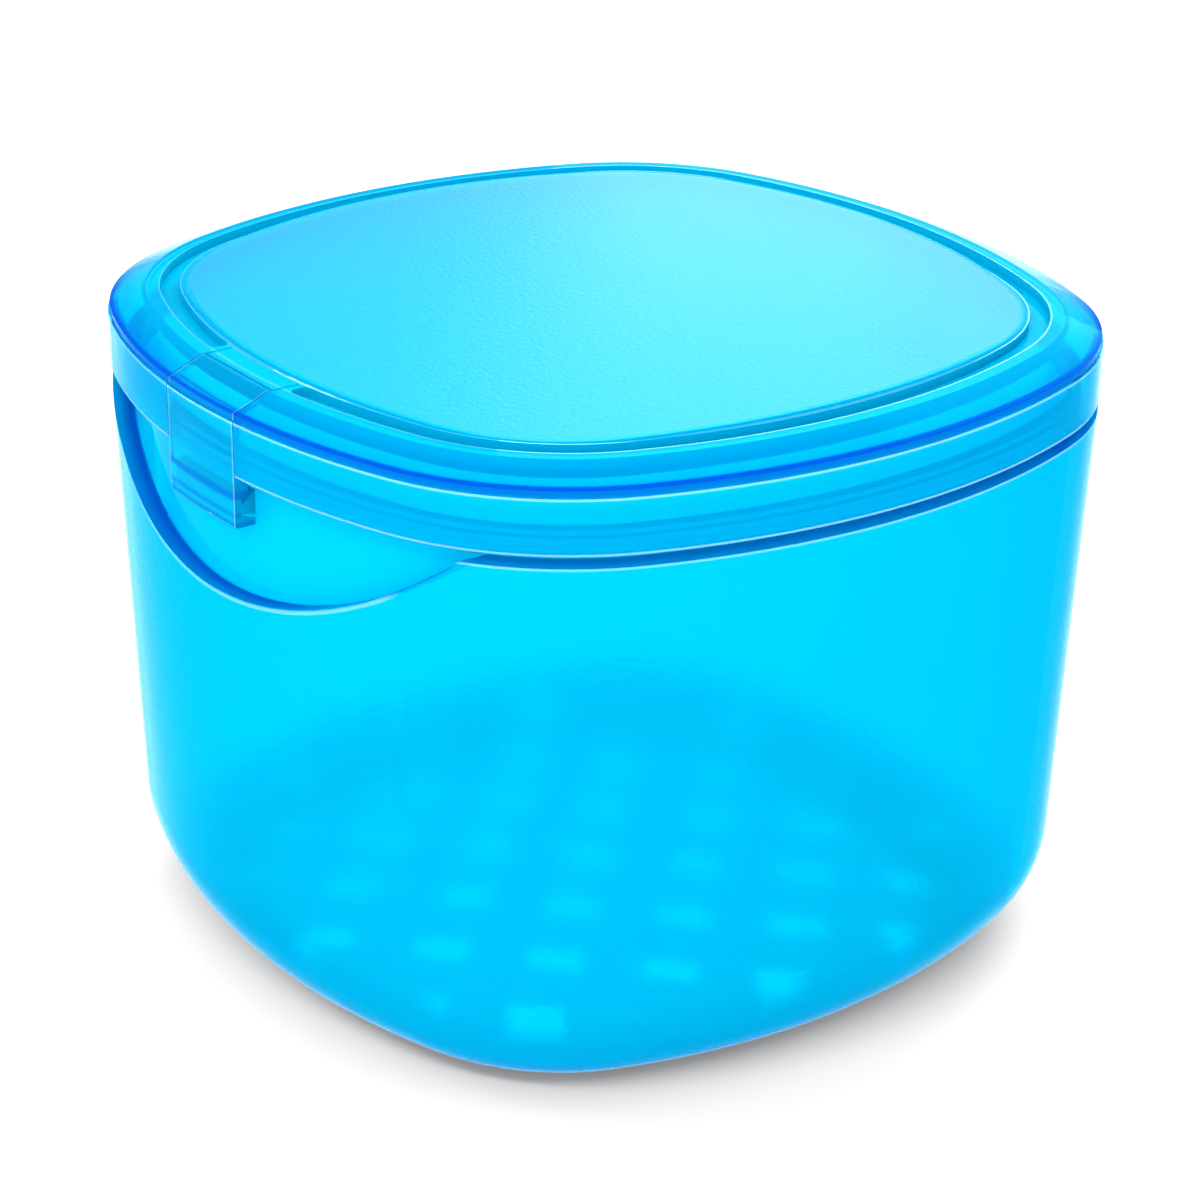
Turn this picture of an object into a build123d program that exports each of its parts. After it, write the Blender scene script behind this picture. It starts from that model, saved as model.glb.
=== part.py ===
from build123d import *
from math import acos, asin, degrees, radians, sqrt, tan
import os

# A hinged bath case for dentures: a frosted tub with a clear neck, a lid whose front clasp
# hooks under a catch, and a strainer basket that hangs in the tub by its rim.
# Millimetres. The origin is the middle of the flat base, +Z is up, the clasp faces -Y and
# the hinge is at +Y.

# Plan outline, shared by every piece: four bowed sides joined by four tangent corner arcs.
half_width = 48.0        # middle of the case to the middle of a side
side_radius = 76.0       # bow of each side
corner_radius = 29.0     # round of each corner

# Tub.
body_height = 60.3       # ground to the shoulder under the lid
body_draft = 2.1         # lean of the outer wall, in degrees
base_radius = 12.8       # round between wall and base
floor_thickness = 2.2
neck_inset = 2.4         # step in from the outer wall to the neck
neck_wall = 1.3
neck_height = 3.0        # shoulder to the top of the neck
core_draft = 0.85        # lean of the inner wall, in degrees
core_chamfer = 6.0       # slope between the inner wall and the floor
bead_depth = 0.7         # how far the sealing bead stands out of the neck
bead_height = 1.0
bead_drop = 0.5          # top of the neck to the top of the bead

# Crescent finger recess under the clasp.
recess_half_width = 33.0
recess_drop = 12.2       # shoulder to the lowest point of the crescent

# Lid.
lid_gap = 1.2            # neck that shows between the shoulder and the skirt
skirt_height = 5.6
skirt_wall = 1.5
edge_step = 0.2          # ledge along the top edge of the skirt
rim_rise = 2.3           # top edge of the skirt to the crest of the rim
slope_rise = 1.5         # how much of that is the slope
slope_run = 3.8          # ledge to the upper end of the slope
hollow_run = 2.5         # the same slope under the rim, as wide as the hollow allows
rim_wall = 1.5
moat_inset = 5.5         # outline to the outer side of the moat
moat_width = 2.1
moat_depth = 1.0
moat_stop = 1.0          # clasp's side to each end of the moat
moat_end_radius = 0.8
web = 1.2                # wall between the moat and the hollows on both sides of it
panel_wall = 1.6
panel_edge_rise = 0.3    # crest of the rim to the panel's edge at the middle of a side
panel_dome = 1.4         # panel's edge to its middle
panel_edge_radius = 0.5

# Clasp: an L-shaped flap that bends about a line across the rim.
clasp_width = 12.6
clasp_gap = 0.15         # hairline seam on each side
clasp_depth = 4.4        # outline to the line that it bends about
clasp_reach = 5.4        # how far it hangs below the skirt
clasp_corner = 0.8       # round inside the bend of the L
bend_clearance = 0.08
hook_wall = 0.7          # front wall beside the catch
hook_depth = 2.2         # outline to the tip of the hook
hook_tip = 0.8           # height of the tip
hook_relief = 2.3        # lower edge of the skirt to where the wall thins
hook_edge = 0.25
seam_length = 3.3        # seams that run on from the bend to the panel
seam_depth = 0.6
seam_width = 0.2

# Catch on the tub, behind the clasp's front wall.
catch_proud = 1.4        # how far it stands out of the recess
catch_width = 12.6
catch_gap = 0.2          # hook to the underside of the catch
catch_height = 2.2
catch_lead = 1.3         # height of the slope that the hook rides down

# Hinge: the lid's two ears hold moulded stubs in the ends of the tub's lug.
hinge_out = 2.4          # rear wall of the tub to the axis
knuckle_radius = 2.1
lug_width = 10.0
lug_shoulder = 3.5       # axis down to the top of the lug's web
lug_drop = 9.5           # axis down to the foot of the lug's web
ear_width = 4.5
ear_gap = 0.25
ear_foot = 0.5           # axis up to the lower edge of the ear on the skirt
ear_rise = 4.0           # axis up to the top of the ear on the skirt
wall_sink = 0.9          # how deep lug and ears are rooted in the bowed walls
stub_radius = 1.0
stub_length = 3.2
stub_clearance = 0.06
open_angle = 110.0       # turn at which the ears' toes meet the tub's rear wall
stop_spare = 2.0         # turn left between that and the contact itself
toe_reach = 3.1          # axis to the tip of a toe

# Strainer basket.
basket_gap = 0.4         # tub's inner wall to the basket
basket_wall = 1.2
basket_floor = 4.8       # ground to the top of the strainer floor
strainer_thickness = 1.4
basket_chamfer = 5.6     # slope between the basket's wall and floor, outside
flange_inset = 2.6       # clears the hook as the lid opens
flange_thickness = 1.2
hole_pitch = 11.88
hole_size = 6.0
hole_reach = 38.0        # furthest that a hole's centre lies from the middle
hole_rows = 7

# Heights, insets and places that follow from these.
neck_top = body_height + neck_height
core_inset = neck_inset + neck_wall
skirt_bottom = body_height + lid_gap
skirt_top = skirt_bottom + skirt_height
crest = skirt_top + rim_rise
moat_floor = crest - moat_depth
moat_underside = moat_floor - rim_wall
rim_underside = crest - rim_wall
slope_start = crest - slope_rise
hollow_rise = hollow_run * slope_rise / slope_run
panel_inset = moat_inset + moat_width
panel_edge = crest + panel_edge_rise
panel_top = panel_edge + panel_dome
dome_radius = ((half_width - panel_inset)**2 + panel_dome**2) / (2 * panel_dome)

side_centre = side_radius - half_width
corner_arm = side_radius - corner_radius
corner_centre = (sqrt(2 * corner_arm**2 - side_centre**2) - side_centre) / 2
side_angle = degrees(asin(corner_centre / corner_arm))
front_bow = Axis((0, side_centre, 0), (0, 0, 1))

recess_radius = (recess_half_width**2 + recess_drop**2) / (2 * recess_drop)
recess_middle = body_height - recess_drop + recess_radius

bend_radius = rim_wall / 2
bend_height = crest - bend_radius
bend_y = clasp_depth - half_width
clasp_bottom = skirt_bottom - clasp_reach
relief_height = skirt_bottom - hook_relief
hook_sweep = sqrt((clasp_depth - hook_depth)**2 + (bend_height - clasp_bottom - hook_tip)**2)
catch_sweep = hook_sweep - catch_gap
catch_inset = neck_inset - catch_proud

hinge_y = half_width + hinge_out
hinge_z = skirt_bottom
ear_start = lug_width / 2 + ear_gap
wall_gap = hinge_y + side_centre - sqrt(side_radius**2 - ear_start**2)
toe_angle = open_angle + stop_spare + degrees(acos(wall_gap / toe_reach)) - 180

flange_top = neck_top + flange_thickness
basket_underside = basket_floor - strainer_thickness
root = 0.3               # how deep small features are sunk into what carries them
margin = 5.0             # how far cutters run past what they cut


def plan(inset):
    """The case's outline as a face, moved in by inset from the outer wall."""
    with BuildLine() as outline:
        for turn in range(0, 360, 90):
            side = Vector(-side_centre, 0).rotate(Axis.Z, turn)
            corner = Vector(corner_centre, corner_centre).rotate(Axis.Z, turn)
            CenterArc(side, side_radius - inset, turn - side_angle, 2 * side_angle)
            CenterArc(corner, corner_radius - inset, turn + side_angle, 90 - 2 * side_angle)
    make_face(outline.edges())


def front_plane(width):
    """Upright plane through the middle of the front side's bow, turned to one side of a piece
    that wide. Its x is the distance from that middle and its y is the height."""
    turn = -degrees(asin(width / 2 / side_radius))
    return Plane(origin=front_bow.position, x_dir=Vector(0, -1, 0).rotate(Axis.Z, turn),
                 z_dir=Vector(-1, 0, 0).rotate(Axis.Z, turn))


def follow_front(width):
    """Carries the sketched profile along the front side's bow, over that width."""
    revolve(axis=front_bow, revolution_arc=2 * degrees(asin(width / 2 / side_radius)))


def at(inset, height):
    """A point of such a profile, given by its inset from the outer wall."""
    return (side_radius - inset, height)


def swept(radius, inset):
    """The point at that inset that moves on that radius as the clasp bends."""
    return at(inset, bend_height - sqrt(radius**2 - (clasp_depth - inset)**2))


def bend_arc(radius, start_inset, end_inset):
    """Arc about the clasp's bend between two insets."""
    RadiusArc(swept(radius, start_inset), swept(radius, end_inset), radius)


# Hollow of the tub: the shape of the mould's core.
with BuildPart() as core:
    with BuildSketch(Plane.XY.offset(floor_thickness)):
        plan(core_inset + (neck_top - floor_thickness) * tan(radians(core_draft)))
    extrude(amount=neck_top - floor_thickness, taper=-core_draft)
    chamfer(core.faces().sort_by(Axis.Z)[0].edges(), core_chamfer)

# Crescent that is cut into the front, down to the surface of the neck.
with BuildPart() as recess:
    with BuildSketch(Plane.XZ):
        with Locations((0, recess_middle)):
            Circle(recess_radius)
        with Locations((0, body_height)):
            Rectangle(4 * half_width, 4 * recess_radius, align=(Align.CENTER, Align.MIN),
                      mode=Mode.SUBTRACT)
    extrude(amount=half_width + margin)
    with BuildSketch():
        plan(neck_inset)
    extrude(amount=body_height, mode=Mode.SUBTRACT)

# Tub: frosted body, stepped-in neck with a sealing bead, crescent, catch and hinge lug.
with BuildPart() as tub:
    with BuildSketch():
        plan(body_height * tan(radians(body_draft)))
    extrude(amount=body_height, taper=-body_draft)
    fillet(tub.faces().sort_by(Axis.Z)[0].edges(), base_radius)
    with BuildSketch(Plane.XY.offset(body_height)):
        plan(neck_inset)
    extrude(amount=neck_height)
    add(recess.part, mode=Mode.SUBTRACT)
    with BuildSketch(Plane.XY.offset(neck_top - bead_drop - bead_height)):
        plan(neck_inset - bead_depth)
    extrude(amount=bead_height)
    with BuildSketch(front_plane(catch_width)):
        with BuildLine() as catch_edge:
            bend_arc(catch_sweep, neck_inset + root, catch_inset)
            lip = catch_edge.edges()[0].end_point()
            Polyline(lip, lip + Vector(0, catch_height - catch_lead),
                     lip + Vector(-catch_proud, catch_height),
                     lip + Vector(-catch_proud - root, catch_height),
                     catch_edge.edges()[0].start_point())
        make_face()
    follow_front(catch_width)
    with BuildSketch(Plane.YZ.offset(-lug_width / 2)):
        with Locations((hinge_y, hinge_z)):
            Circle(knuckle_radius)
        with BuildLine():
            Line((half_width - wall_sink, hinge_z - lug_shoulder),
                 (half_width - wall_sink, hinge_z - lug_drop))
        make_hull()
    extrude(amount=lug_width)
    add(core.part, mode=Mode.SUBTRACT)
    with Locations(Location((0, hinge_y, hinge_z), (0, 90, 0))):
        Cylinder(stub_radius + stub_clearance, lug_width + 2 * margin, mode=Mode.SUBTRACT)
tub.part.label = "tub"

# Hollow under the lid's panel, with a ceiling that follows the dome.
with BuildPart() as panel_hollow:
    with BuildSketch(Plane.XY.offset(moat_underside)):
        plan(panel_inset + web)
    extrude(amount=margin)
    with Locations(Location((0, 0, panel_top - panel_wall - dome_radius), (90, 0, 0))):
        Sphere(dome_radius, mode=Mode.INTERSECT)

# Hollow under the whole lid: skirt, hollow rim, a step under the moat, and the panel.
with BuildPart() as lid_hollow:
    with BuildSketch(Plane.XY.offset(skirt_bottom)):
        plan(skirt_wall)
    extrude(amount=rim_underside - skirt_bottom)
    ceiling = lid_hollow.faces().sort_by(Axis.Z)[-1]
    chamfer(ceiling.edges(), hollow_run, hollow_rise, reference=ceiling)
    with BuildSketch(Plane.XY.offset(moat_underside)):
        plan(moat_inset - web)
    extrude(amount=rim_underside - moat_underside, mode=Mode.SUBTRACT)
    add(panel_hollow.part)

# Domed panel, which stands a little above the rim.
with BuildPart() as panel:
    with BuildSketch(Plane.XY.offset(moat_floor - root)):
        plan(panel_inset)
    extrude(amount=margin)
    with Locations(Location((0, 0, panel_top - dome_radius), (90, 0, 0))):
        Sphere(dome_radius, mode=Mode.INTERSECT)
    fillet(panel.faces().sort_by(Axis.Z)[-1].edges(), panel_edge_radius)

# Moat between rim and panel. It stops short of the clasp on both sides.
with BuildPart() as moat:
    with BuildSketch(Plane.XY.offset(moat_floor)):
        plan(moat_inset)
    extrude(amount=margin)
    with BuildSketch(Plane.XY.offset(moat_floor)):
        plan(panel_inset)
    extrude(amount=margin, mode=Mode.SUBTRACT)
    with Locations((0, -half_width, moat_floor)):
        Box(clasp_width + 2 * moat_stop, 2 * panel_inset + margin, 4 * margin, mode=Mode.SUBTRACT)
    ends = moat.faces().filter_by(Axis.X).edges().filter_by(Axis.Z)
    fillet(ends, moat_end_radius)

# One of the lid's two hinge ears, with its stub and the toe that stops the lid when open.
with BuildPart() as ear:
    with BuildSketch(Plane.YZ.offset(ear_start)):
        with Locations((hinge_y, hinge_z)):
            Circle(knuckle_radius)
        with BuildLine():
            Line((half_width - wall_sink, hinge_z + ear_foot),
                 (half_width - wall_sink, hinge_z + ear_rise))
            toe = Vector(toe_reach, 0).rotate(Axis.Z, toe_angle)
            Line((hinge_y, hinge_z), Vector(hinge_y, hinge_z) + toe)
        make_hull()
    extrude(amount=ear_width)
    with BuildSketch(Plane.YZ.offset(ear_start + root)):
        with Locations((hinge_y, hinge_z)):
            Circle(stub_radius)
    extrude(amount=-(root + ear_gap + stub_length))

# Lid: flush skirt, rounded hollow rim, moat and domed panel, with the window for the clasp.
with BuildPart() as lid:
    with BuildSketch(Plane.XY.offset(skirt_bottom)):
        plan(0)
    extrude(amount=skirt_height)
    with BuildSketch(Plane.XY.offset(skirt_top)):
        plan(edge_step)
    extrude(amount=rim_rise)
    crown = lid.faces().sort_by(Axis.Z)[-1]
    chamfer(crown.edges(), slope_run, slope_rise, reference=crown)
    add(moat.part, mode=Mode.SUBTRACT)
    add(panel.part)
    add(lid_hollow.part, mode=Mode.SUBTRACT)
    add(ear.part)
    mirror(ear.part, about=Plane.YZ)
    window = clasp_width + 2 * clasp_gap
    with Locations((0, bend_y, skirt_bottom)):
        Box(window, clasp_depth + margin, 4 * margin, align=(Align.CENTER, Align.MAX, Align.CENTER),
            mode=Mode.SUBTRACT)
    with Locations(Location((0, bend_y, bend_height), (0, 90, 0))):
        Cylinder(bend_radius + bend_clearance, window, mode=Mode.SUBTRACT)
    with Locations(*[(side * (window - seam_width) / 2, bend_y, crest) for side in (-1, 1)]):
        Box(seam_width, 2 * seam_length, 2 * seam_depth, mode=Mode.SUBTRACT)
lid.part.label = "lid"

# Clasp: revolved along the front bow, cut to width, with a straight bead at its bend.
with BuildPart() as clasp:
    with BuildSketch(front_plane(clasp_width + margin)) as clasp_profile:
        with BuildLine() as clasp_edge:
            Polyline(at(0, clasp_bottom), at(0, skirt_top), at(edge_step, skirt_top),
                     at(edge_step, slope_start), at(edge_step + slope_run, crest),
                     at(clasp_depth + root, crest), at(clasp_depth + root, rim_underside),
                     at(skirt_wall + hollow_run, rim_underside),
                     at(skirt_wall, rim_underside - hollow_rise), at(skirt_wall, relief_height),
                     at(hook_wall, relief_height), swept(hook_sweep, hook_wall))
            bend_arc(hook_sweep, hook_wall, hook_depth)
            Polyline(swept(hook_sweep, hook_depth), at(hook_depth, clasp_bottom),
                     at(0, clasp_bottom))
        make_face()
        inner_corner = at(skirt_wall, rim_underside - hollow_rise)
        fillet(clasp_profile.vertices().sort_by_distance(inner_corner)[0], clasp_corner)
        fillet(clasp_profile.vertices().sort_by_distance(at(0, clasp_bottom))[0], hook_edge)
    follow_front(clasp_width + margin)
    with Locations((0, bend_y, crest)):
        Box(clasp_width, 2 * margin, 4 * margin + 4 * clasp_reach,
            align=(Align.CENTER, Align.MAX, Align.CENTER), mode=Mode.INTERSECT)
    with Locations(Location((0, bend_y, bend_height), (0, 90, 0))):
        Cylinder(bend_radius, clasp_width)
clasp.part.label = "clasp"

# Strainer basket: the tub's hollow made smaller, a rim that hangs on the neck, and a floor
# of square holes that stand on their corners.
with BuildPart() as basket_hollow:
    with BuildSketch(Plane.XY.offset(basket_floor)):
        plan(core_inset + basket_gap + basket_wall
             + (neck_top - basket_floor) * tan(radians(core_draft)))
    extrude(amount=neck_top - basket_floor, taper=-core_draft)
    chamfer(basket_hollow.faces().sort_by(Axis.Z)[0].edges(), basket_chamfer - basket_wall / 2)
    with BuildSketch(Plane.XY.offset(neck_top)):
        plan(core_inset + basket_gap + basket_wall)
    extrude(amount=flange_thickness)

with BuildPart() as basket:
    with BuildSketch(Plane.XY.offset(basket_underside)):
        plan(core_inset + basket_gap + (neck_top - basket_underside) * tan(radians(core_draft)))
    extrude(amount=neck_top - basket_underside, taper=-core_draft)
    chamfer(basket.faces().sort_by(Axis.Z)[0].edges(), basket_chamfer)
    with BuildSketch(Plane.XY.offset(neck_top)):
        plan(flange_inset)
    extrude(amount=flange_thickness)
    add(basket_hollow.part, mode=Mode.SUBTRACT)
    grid = GridLocations(hole_pitch, hole_pitch, hole_rows, hole_rows).locations
    with BuildSketch(Plane.XY.offset(basket_underside).rotated((0, 0, 45))):
        with Locations(*[spot for spot in grid if spot.position.length < hole_reach]):
            Rectangle(hole_size, hole_size)
    extrude(amount=basket_chamfer, mode=Mode.SUBTRACT)
basket.part.label = "basket"

os.makedirs("parts", exist_ok=True)
for name, piece in {"tub": tub, "lid": lid, "clasp": clasp, "basket": basket}.items():
    export_step(piece.part, f"parts/{name}.step")
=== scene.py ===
import bpy
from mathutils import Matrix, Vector

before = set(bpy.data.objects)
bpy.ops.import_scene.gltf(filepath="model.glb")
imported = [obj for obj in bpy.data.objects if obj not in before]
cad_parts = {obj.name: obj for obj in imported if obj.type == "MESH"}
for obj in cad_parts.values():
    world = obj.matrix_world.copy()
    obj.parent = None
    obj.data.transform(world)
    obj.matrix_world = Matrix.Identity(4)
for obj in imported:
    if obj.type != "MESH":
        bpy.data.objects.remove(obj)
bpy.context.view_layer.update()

# Camera.
# A long lens stands in front of the right-hand corner and looks a little down on the lid, with the
# frame shifted so that the case fills it.
camera_data = bpy.data.cameras.new("camera")
camera_data.lens = 94.04
camera_data.sensor_width = 36
camera_data.shift_x = 0.0977
camera_data.shift_y = 0.0076
camera = bpy.data.objects.new("camera", camera_data)
camera.location = (0.24946, -0.18496, 0.17358)
aim = Vector((-0.00402, -0.01187, 0.03463)) - camera.location
camera.rotation_euler = aim.to_track_quat("-Z", "Y").to_euler()
bpy.context.scene.collection.objects.link(camera)
bpy.context.scene.camera = camera
bpy.context.scene.view_settings.view_transform = "Standard"

# Studio.
# The case stands on a wide white table in an even white room. A softbox behind it lights the
# lid, and a strip in front and a small softbox on the left light the walls. The table stays
# white to the eye and in gloss, and keeps the shadow of the case.


class Wire:
    """One socket of a material; sums on wires add Math nodes, node() adds any other node."""

    def __init__(self, socket):
        self.socket = socket

    def node(self, kind, settings=None, inputs=None, output=0):
        """Adds a node, makes its settings, fills its sockets, and gives one of its outputs."""
        tree = self.socket.id_data
        made = tree.nodes.new("ShaderNode" + kind)
        for name, value in (settings or {}).items():
            setattr(made, name, value)
        for name, value in (inputs or {}).items():
            if isinstance(value, Wire):
                tree.links.new(value.socket, made.inputs[name])
            else:
                made.inputs[name].default_value = value
        return Wire(made.outputs[output])

    def beside(self, output):
        """Another output of the same node."""
        return Wire(self.socket.node.outputs[output])

    def sum(self, operation, one, other):
        return self.node("Math", {"operation": operation}, {0: one, 1: other})

    def __add__(self, other):
        return self.sum("ADD", self, other)

    def __radd__(self, other):
        return self.sum("ADD", other, self)

    def __sub__(self, other):
        return self.sum("SUBTRACT", self, other)

    def __rsub__(self, other):
        return self.sum("SUBTRACT", other, self)

    def __mul__(self, other):
        return self.sum("MULTIPLY", self, other)

    def __rmul__(self, other):
        return self.sum("MULTIPLY", other, self)

    def __gt__(self, other):
        return self.sum("GREATER_THAN", self, other)

    def __lt__(self, other):
        return self.sum("LESS_THAN", self, other)

    def larger(self, other):
        return self.sum("MAXIMUM", self, other)

    def smaller(self, other):
        return self.sum("MINIMUM", self, other)

    def root(self):
        return self.node("Math", {"operation": "SQRT"}, {0: self})

    def size(self):
        return self.node("Math", {"operation": "ABSOLUTE"}, {0: self})

    def fade(self, start, end):
        """0 up to start, 1 from end, and smooth between them."""
        return self.node("MapRange", {"interpolation_type": "SMOOTHSTEP"},
                         {"Value": self, "From Min": start, "From Max": end})


def finish(name):
    """A new material, and the wire that ends in its output node."""
    material = bpy.data.materials.new(name)
    material.use_nodes = True
    material.node_tree.nodes.clear()
    output = material.node_tree.nodes.new("ShaderNodeOutputMaterial")
    return material, Wire(output.inputs["Surface"])


def join(end, socket, wire):
    """Links a wire to a socket of the node that end belongs to."""
    end.socket.id_data.links.new(wire.socket, end.socket.node.inputs[socket])


table_white = 0.92
glow_to_eye = 0.13
glow_in_gloss = 0.65
bpy.ops.object.select_all(action="DESELECT")
bpy.ops.mesh.primitive_plane_add(size=8)
table = bpy.context.object
table.name = "table"
material, end = finish("table white")
eye = end.node("LightPath", output="Is Camera Ray")
sent_on = eye.beside("Is Glossy Ray").larger(eye.beside("Is Transmission Ray"))
glow = glow_to_eye * eye + glow_in_gloss * (sent_on * (1 - eye))
paint = end.node("BsdfPrincipled", {}, {
    "Base Color": (table_white, table_white, table_white, 1), "Roughness": 1.0,
    "Specular IOR Level": 0.0, "Emission Color": (1, 1, 1, 1), "Emission Strength": glow})
join(end, "Surface", paint)
table.data.materials.append(material)

room = bpy.data.worlds.new("white room")
room.use_nodes = True
room.node_tree.nodes["Background"].inputs["Color"].default_value = (1, 1, 1, 1)
room.node_tree.nodes["Background"].inputs["Strength"].default_value = 1.0
bpy.context.scene.world = room

for name, wide, high, watts, spot in (("softbox back", 0.6, 0.55, 4.2, (-0.387, 0.574, 0.47)),
                                      ("strip front", 1.0, 0.12, 4.5, (0.42, -0.55, 0.75)),
                                      ("softbox left", 0.3, 0.3, 1.0, (-0.55, -0.55, 0.45))):
    lamp = bpy.data.lights.new(name, "AREA")
    lamp.shape = "RECTANGLE"
    lamp.size = wide
    lamp.size_y = high
    lamp.energy = watts
    softbox = bpy.data.objects.new(name, lamp)
    softbox.location = spot
    aim = Vector((0, 0, 0.04)) - softbox.location
    softbox.rotation_euler = aim.to_track_quat("-Z", "Y").to_euler()
    bpy.context.scene.collection.objects.link(softbox)

# Tub.
# One injection moulding in clear dyed plastic. A blasted mould gives its outside a fine frost up
# to the shoulder. The neck above that and the finger recess at the front are polished clear.
dye = (0.0, 0.9905, 0.9994, 1)
dye_density = 6000
deep_blue_and_shade = (0.0, 0.12, 0.75, 1)   # where the plastic is thick, and as painted shade on bands, ledges and the neck
clear_tint = (0.8, 1, 1, 1)        # what a polished face lets through
thin_tint = (0.5, 0.97, 1.0, 1)    # what a thin wall lets straight through
dyed_gloss = (0.03, 0.8, 1.0, 1)
pale_gloss = (0.75, 1, 1, 1)       # at a low angle, on edges as painted highlights, and on frost that faces up
plastic_ior = 1.5
inner_gloss = 0.5                  # strength of reflections inside the wall
glance_gloss = 0.45                # gloss that a low angle adds
scatter_inwards = 0.35
floor_grey = (0.1, 0.1, 0.1, 1)    # what the table sees, so that the shadow stays neutral
grain_size = 0.0006
grain_depth = 0.0001
cloud_size = 0.025                 # patches where the colour varies a little


def plastic(name, colour, zones, haze, sheen, rough, straight=False):
    """Dyed plastic. zones() gives four wires: 1 on outer faces, 1 on frosted faces, how much deep
    blue to mix in, partly where the plastic is thick and partly as painted shade, and the strength
    of painted highlights along edges. haze has a value for inner, polished and frosted faces;
    sheen and rough have one for polished and one for frosted faces. straight is for a thin wall,
    which lets light through without bending it."""
    material, end = finish(name)
    point = end.node("TexCoord", output="Object")
    x = point.node("SeparateXYZ", {}, {0: point})
    back = end.node("NewGeometry", output="Backfacing")
    facing = end.node("SeparateXYZ", {}, {0: point.beside("Normal")})
    turn = 1 - 2 * back
    outer, frost, thick_and_shade, glint = zones(x, x.beside(1), x.beside(2), facing * turn,
                                       facing.beside(1) * turn, facing.beside(2) * turn)
    cells = end.node("TexNoise", {"noise_dimensions": "3D"},
                     {"Vector": point, "Scale": 1 / grain_size, "Detail": 1.5, "Roughness": 0.5})
    bump = end.node("Bump", {}, {
        "Strength": 0.4, "Distance": grain_depth, "Height": cells * frost})
    cloud = end.node("TexNoise", {"noise_dimensions": "3D"},
                     {"Vector": point, "Scale": 1 / cloud_size, "Detail": 2.0})
    tint = end.node("Mix", {"data_type": "RGBA"}, {
        "Factor": cloud, 6: colour, 7: (colour[0], colour[1] * 0.95, colour[2], 1)}, output=2)
    # Deep blue is mixed in where the plastic is thick, and as painted shade on bands and ledges.
    tint = end.node("Mix", {"data_type": "RGBA"},
                    {"Factor": thick_and_shade, 6: tint, 7: deep_blue_and_shade}, output=2)
    roughness = rough[0] + frost * (rough[1] - rough[0])
    strength = sheen[0] + frost * (sheen[1] - sheen[0])
    mirror = end.node("Fresnel", {}, {"IOR": plastic_ior, "Normal": bump})
    glance = mirror.fade(0.12, 0.7) * (1 - back)
    strength = strength + glance_gloss * glance
    if straight:
        through = end.node("BsdfTransparent", {}, {"Color": thin_tint})
        factor = mirror * (1 - back) * strength
        held = 0 * back
    else:
        through = end.node("BsdfRefraction", {"distribution": "GGX"}, {
            "Color": clear_tint, "IOR": plastic_ior, "Roughness": roughness, "Normal": bump})
        factor = mirror * (strength + back * (inner_gloss - strength))
        held = back * (mirror > 0.98)
    out = end.node("BsdfDiffuse", {}, {"Color": tint, "Normal": bump})
    into = end.node("BsdfTranslucent", {}, {"Color": tint, "Normal": bump})
    scatter = end.node("MixShader", {}, {0: scatter_inwards, 1: out, 2: into})
    share = haze[0] + outer * (haze[1] - haze[0]) + frost * (haze[2] - haze[1])
    share = share.larger(held).larger(thick_and_shade * (1 - back) * (1 - glance))
    # Painted highlights: on edge bands the gloss is raised to the glint strength and turns pale.
    factor = factor.larger(glint * (1 - back))
    body = end.node("MixShader", {}, {0: share, 1: through, 2: scatter})
    dyed = end.node("BsdfAnisotropic", {"distribution": "GGX"}, {
        "Color": dyed_gloss, "Roughness": roughness, "Normal": bump})
    pale = end.node("BsdfAnisotropic", {"distribution": "GGX"}, {
        "Color": pale_gloss, "Roughness": roughness, "Normal": bump})
    frost_above = frost * (facing.beside(2) * turn > 0.9)
    paleness = (mirror * (1 - back)).fade(0.08, 0.5).larger(glint > 0.01).larger(frost_above)
    gloss = end.node("MixShader", {}, {0: paleness, 1: dyed, 2: pale})
    whole = end.node("MixShader", {}, {0: factor, 1: body, 2: gloss})
    grey = end.node("BsdfDiffuse", {}, {"Color": floor_grey})
    floor_ray = end.node("LightPath", output="Is Diffuse Ray")
    first = (floor_ray.beside("Ray Depth") < 1.5) * (1 - back)
    shading = end.node("MixShader", {}, {0: first, 1: whole, 2: grey})
    join(end, "Surface", end.node("MixShader", {}, {0: floor_ray, 1: whole, 2: shading}))
    join(end, "Volume", end.node("VolumeAbsorption", {}, {"Color": dye, "Density": dye_density}))
    return material


def dress(node, material):
    """Gives a solid its material in place of the plain one that it comes with."""
    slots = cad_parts[node].data.materials
    slots.clear()
    slots.append(material)


def inset(x, y):
    """Distance from the case's outline, which has four bowed sides joined by corner arcs."""
    half_side = 0.048
    bow_radius = 0.076
    bow_middle = bow_radius - half_side
    corner_radius = 0.029
    corner_middle = 0.016141
    lean = corner_middle / (corner_middle + bow_middle)
    x = x.size()
    y = y.size()
    in_x = x - corner_middle
    in_y = y - corner_middle
    out_x = x + bow_middle
    out_y = y + bow_middle
    from_x_side = bow_radius - (out_x * out_x + y * y).root()
    from_y_side = bow_radius - (out_y * out_y + x * x).root()
    from_arc = corner_radius - (in_x * in_x + in_y * in_y).root()
    wedge = (y > lean * out_x) * (x > lean * out_y)
    return from_x_side.smaller(from_y_side) * (1 - wedge) + from_arc * wedge


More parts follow.
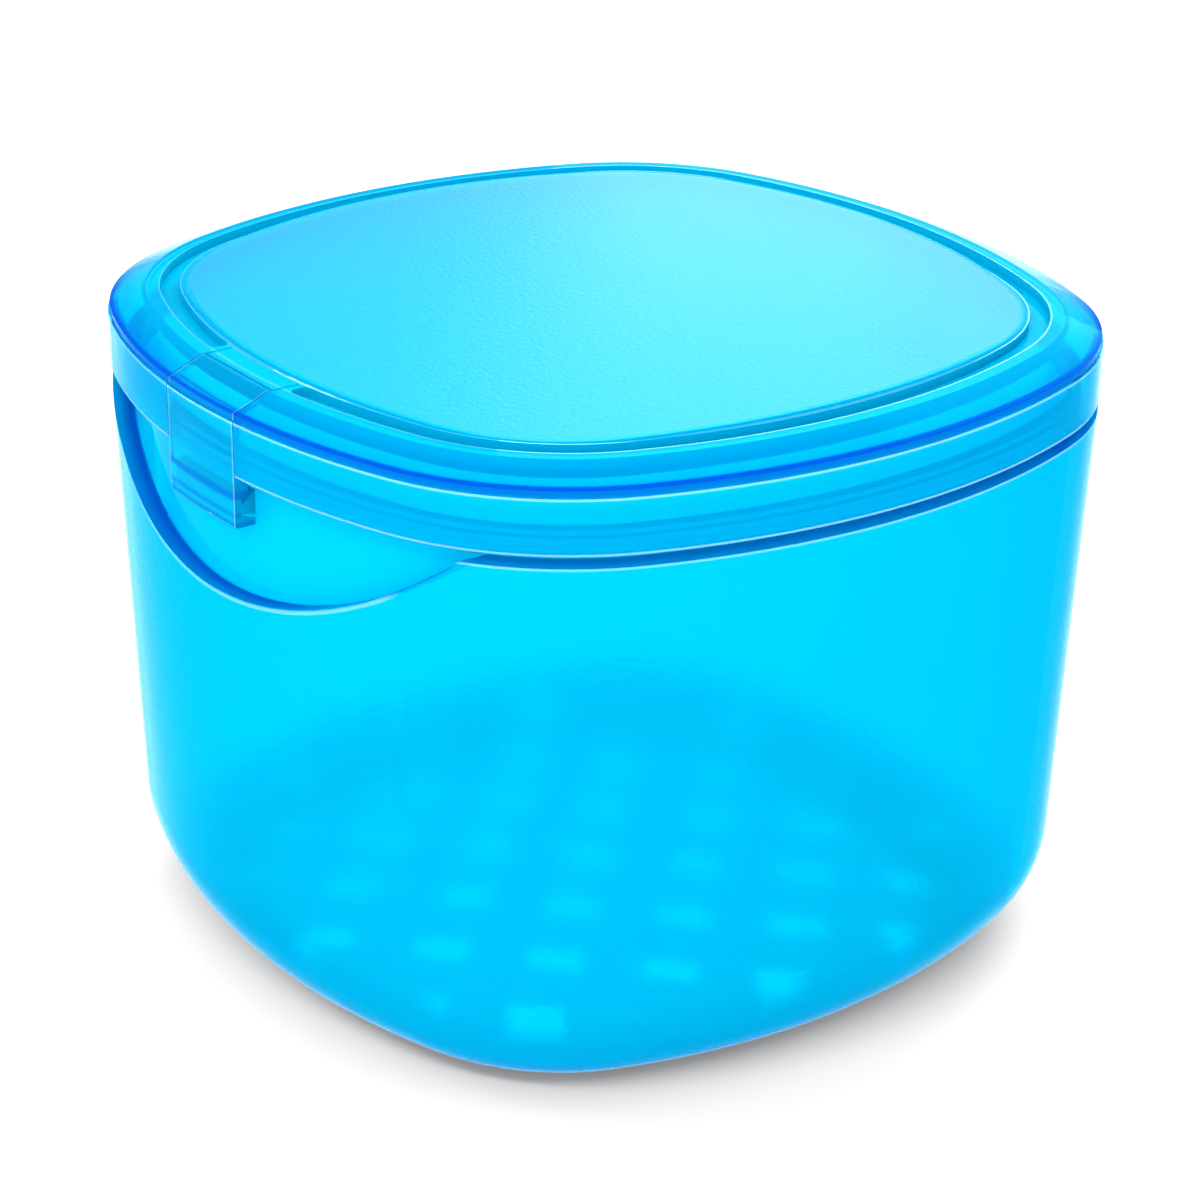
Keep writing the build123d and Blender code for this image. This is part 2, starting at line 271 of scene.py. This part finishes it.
def tub_zones(x, y, z, across, along, up):
    base_reach = 0.007         # height up to which the rounded base is painted a deeper blue, darker towards the bottom
    shoulder = 0.0603
    recess_middle = 0.0988     # height of the centre of the recess's arc
    recess_inner = 0.0505      # radii just inside and just outside that arc
    recess_edge = 0.0508
    step_shade_width = 0.0020        # width of the ledge under the recess over which painted shade darkens inwards
    drop = z - recess_middle
    reach = x * x + drop * drop
    edge = inset(x, y)
    front = 1 - y.fade(-0.0435, -0.0425)
    in_recess = (1 - reach.fade(recess_inner ** 2, recess_edge ** 2)) * front
    outside = (x * across + y * along).fade(-0.001, 0.001)
    frost = (1 - z.fade(0.0600, shoulder)) * (1 - in_recess) * outside
    deeper = (1 - edge.fade(0.0022, 0.0023)) * (reach > recess_inner ** 2)
    step = deeper * (1 - y.fade(-0.0405, -0.0395)) * (reach < 0.0509 ** 2)
    neck = z.fade(0.0602, shoulder) * (outside > 0.4)
    base = 0.75 * (1 - z.fade(0.0, base_reach)) * (outside > 0.55)
    # Painted shade: deep blue on the ledge under the recess, darker inwards, and on the neck under
    # the lid's skirt. The rounded base is painted a deeper blue towards the bottom.
    thick_and_shade = (0.5 + 0.45 * edge.fade(0.0, step_shade_width)) * step + 0.55 * neck + base
    # Painted highlights: thin bright bands on the shoulder's outer edge and around the recess.
    proud = outside * (1 - edge.fade(0.0010, 0.0012)) * (edge > -0.0003)
    lip = z.fade(0.0600, 0.0601) * proud
    brim = (reach < 0.0512 ** 2) * (reach > recess_edge ** 2) * front * proud
    glint = 0.12 * lip.larger(brim)
    return outside.larger(step).larger(neck), frost, thick_and_shade, glint


dress("tub", plastic("tub plastic", (0.0, 0.88, 1.0, 1), tub_zones, (0.03, 0.5, 0.5),
                     (0.15, 0.1), (0.03, 0.17)))

# Basket.
# The strainer that the dentures lie in is a thin moulding of the same plastic, and hangs by its
# flange on the tub's neck. Its floor with the holes is frosted, and its wall is left clear.


def basket_zones(x, y, z, across, along, up):
    bottom = 1 - z.fade(0.0065, 0.0085)
    return bottom, bottom, 0.15 * bottom, 0 * bottom


dress("basket", plastic("basket plastic", (0.0, 0.82, 1.0, 1), basket_zones, (0.02, 0.55, 0.55),
                        (0.1, 0.1), (0.3, 0.3), straight=True))

# Lid.
# One moulding of the same plastic, hinged to the tub at the back and polished clear. Only its
# raised panel, inside the moat, is frosted.


def lid_zones(x, y, z, across, along, up):
    moat_outer = 0.0055        # these two are distances from the outline
    moat_inner = 0.0076
    skirt_top = 0.0671
    slope_start = 0.0679
    edge_highlight = 0.16
    moat_highlight = 0.12
    edge = inset(x, y)
    outward = (x * across + y * along).fade(-0.001, 0.001)
    outer = outward.larger(z.fade(0.0682, 0.0683)) * up.fade(-0.5, -0.2)
    raised = z.fade(0.0685, 0.0686)
    frost = edge.fade(0.0078, 0.0088) * raised * up.fade(0.0, 0.5)
    steep = z.fade(0.06705, 0.06715) * (1 - z.fade(slope_start, 0.0682))
    slope = z.fade(0.0677, 0.0680) * (1 - edge.fade(0.0, 0.0044))
    moat = edge.fade(0.0053, moat_outer) * (1 - edge.fade(moat_inner, 0.0078))
    panel = edge.fade(0.0074, moat_inner) * raised
    skirt = (1 - z.fade(0.0670, skirt_top)) * outward
    # Deep blue on the steep band above the skirt's edge and down the rim's slope, partly where the
    # rim is thick and partly painted shade; the skirt is a little deeper.
    thick_and_shade = (0.03 + 0.12 * skirt + 0.75 * steep + 0.55 * slope) * (1 - panel)
    brim = (1 - edge.fade(0.0001, 0.0002)) * (edge > -0.0003) * outward
    top_edge = z.fade(0.0668, 0.0669) * (1 - z.fade(skirt_top, 0.06715)) * brim
    low_edge = (1 - z.fade(0.06165, 0.06175)) * brim
    outer_lip = 1 - (edge - moat_outer).size().fade(0.0001, 0.0002)
    inner_lip = 1 - (edge - moat_inner).size().fade(0.0001, 0.0002)
    moat_edge = outer_lip.larger(inner_lip) * z.fade(0.0689, 0.0690)
    # Painted highlights: thin bright bands along the skirt's top and bottom edges and the moat's
    # lips.
    glint = (edge_highlight * top_edge).larger(edge_highlight * low_edge).larger(moat_highlight * moat_edge)
    return outer * (1 + 0.5 * moat), frost, thick_and_shade, glint


dress("lid", plastic("lid plastic", (0.0, 0.72, 1.0, 1), lid_zones, (0.05, 0.6, 0.6),
                     (0.15, 0.28), (0.03, 0.3)))

# Clasp.
# A small polished flap of the same clear plastic, with a hook that grips the catch on the tub. It
# is moulded with the lid, and a thin web that bends joins it to the lid's top.


def clasp_zones(x, y, z, across, along, up):
    half_width = 0.0063
    clasp_bottom = 0.0561
    edge_width = 0.0002
    outer, frost, thick_and_shade, glint = lid_zones(x, y, z, across, along, up)
    side = (x.size() > half_width - edge_width) * outer
    foot = (1 - z.fade(clasp_bottom, clasp_bottom + edge_width)) * outer
    step = z.fade(0.0588, 0.0592) * (1 - z.fade(0.0594, 0.0602))
    tip = z.fade(0.0570, 0.0573) * (1 - z.fade(0.0575, 0.0579))
    base = 1 - z.fade(0.0563, 0.0568)
    # Painted shade: dark bands across the clasp at its step, the hook's tip and its foot.
    shade_bands = (0.8 * step).larger(0.6 * tip).larger(0.7 * base)
    # Painted highlights along the clasp's sides and foot, and the lid's along its top.
    glint = 0.1 * side.larger(foot) + glint * (z > 0.065)
    return outer, 0 * frost, shade_bands.larger(0.9 * thick_and_shade), glint


dress("clasp", plastic("clasp plastic", (0.0, 0.75, 1.0, 1), clasp_zones, (0.0, 0.45, 0.45),
                       (0.3, 0.3), (0.01, 0.3)))
